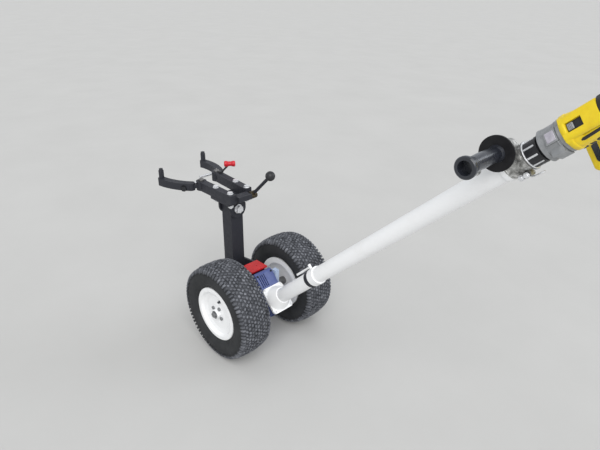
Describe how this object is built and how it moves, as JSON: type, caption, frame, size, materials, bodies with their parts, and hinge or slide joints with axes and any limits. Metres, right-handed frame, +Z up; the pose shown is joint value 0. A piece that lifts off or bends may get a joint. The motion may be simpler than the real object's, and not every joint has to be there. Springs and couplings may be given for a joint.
{
  "type": "hand-guided aircraft tug",
  "caption": "Two-wheel tug for light aircraft: worm gearbox, square post with rocking jaw head, and a long handle tube driven by a cordless drill.",
  "frame": {"origin": "the point between the two jaws where the nose gear is held, 504 mm over the floor", "axes": "+X forward towards the aircraft, +Y to the left, +Z up; the wheels' axle runs along Y"},
  "size_m": [1.4485, 0.4128, 1.0064],
  "materials": {
    "black_steel": "satin black paint, worn at the edges",
    "zinc": "bright zinc plate",
    "steel": "bare turned steel",
    "brass": "dull brass",
    "red_paint": "gloss red paint",
    "red_plastic": "moulded red plastic",
    "blue_paint": "blue enamel on cast aluminium",
    "white_paint": "white powder coat",
    "black_rubber": "glossy black grip rubber",
    "aluminium": "turned aluminium",
    "black_plastic": "moulded black plastic",
    "yellow_plastic": "moulded yellow plastic",
    "grey_case": "satin grey gear case",
    "tyre": "black tyre rubber, dusty"
  },
  "bodies": {
    "head": {"head_bracket": "black_steel", "head_block": "black_steel", "arm_left": "black_steel", "arm_right": "black_steel", "arm_bolts": "zinc", "rock_bolt": "zinc", "knuckle_pins": "steel", "lever_bolt": "zinc", "release_grip": "red_plastic"},
    "left_jaw": {"jaw_left": "black_steel", "tow_pin_left": "zinc"},
    "right_jaw": {"jaw_right": "black_steel", "tow_pin_right": "zinc"},
    "clamp_lever": {"lever_hub": "brass", "lever_rod": "black_steel", "lever_ball": "black_plastic"},
    "frame": {"post": "black_steel", "post_foot": "black_steel", "cap_plate": "red_paint", "gearbox_housing": "blue_paint", "gearbox_covers": "blue_paint", "input_flange": "white_paint", "neck": "white_paint", "joint_ring": "black_steel", "handle_tube": "white_paint", "lock_pin": "white_paint", "end_fitting": "aluminium", "side_grip": "black_rubber", "grip_guard": "black_rubber", "torque_arm": "aluminium", "drill_case": "grey_case", "drill_body": "yellow_plastic", "drill_cap": "black_plastic", "drill_hilt": "yellow_plastic", "drill_battery": "black_plastic"},
    "drive": {"drive_shaft": "steel", "chuck": "black_plastic", "chuck_inlays": "zinc"},
    "wheelset": {"axle": "steel", "rim_left": "white_paint", "rim_right": "white_paint", "tyre_left": "tyre", "tyre_right": "tyre", "hub_bolts": "zinc"}
  },
  "joints": [
    {"name": "head_rock", "type": "hinge", "parent": "head", "child": "frame", "pos_m": [-0.262, 0, -0.052], "axis": [1, 0, 0], "range_deg": [-10, 10]},
    {"name": "jaw_left_swing", "type": "hinge", "parent": "head", "child": "left_jaw", "pos_m": [-0.142, 0.038, 0], "axis": [0, 0, 1], "range_deg": [-18, 25]},
    {"name": "jaw_right_swing", "type": "hinge", "parent": "head", "child": "right_jaw", "pos_m": [-0.105, -0.055, 0], "axis": [0, 0, -1], "range_deg": [0, 40]},
    {"name": "clamp_lever_turn", "type": "hinge", "parent": "head", "child": "clamp_lever", "pos_m": [-0.326, -0.0394, -0.002], "axis": [0, 1, 0], "range_deg": [-20, 60]},
    {"name": "axle_spin", "type": "hinge", "parent": "frame", "child": "wheelset", "pos_m": [-0.4, 0, -0.339], "axis": [0, 1, 0], "continuous": true},
    {"name": "chuck_spin", "type": "hinge", "parent": "frame", "child": "drive", "pos_m": [-1.20584, 0, 0.36063], "axis": [-0.7236, 0, 0.6903], "continuous": true}
  ],
  "couplings": [
    {"joint": "chuck_spin", "follows": "axle_spin", "ratio": 25}
  ]
}
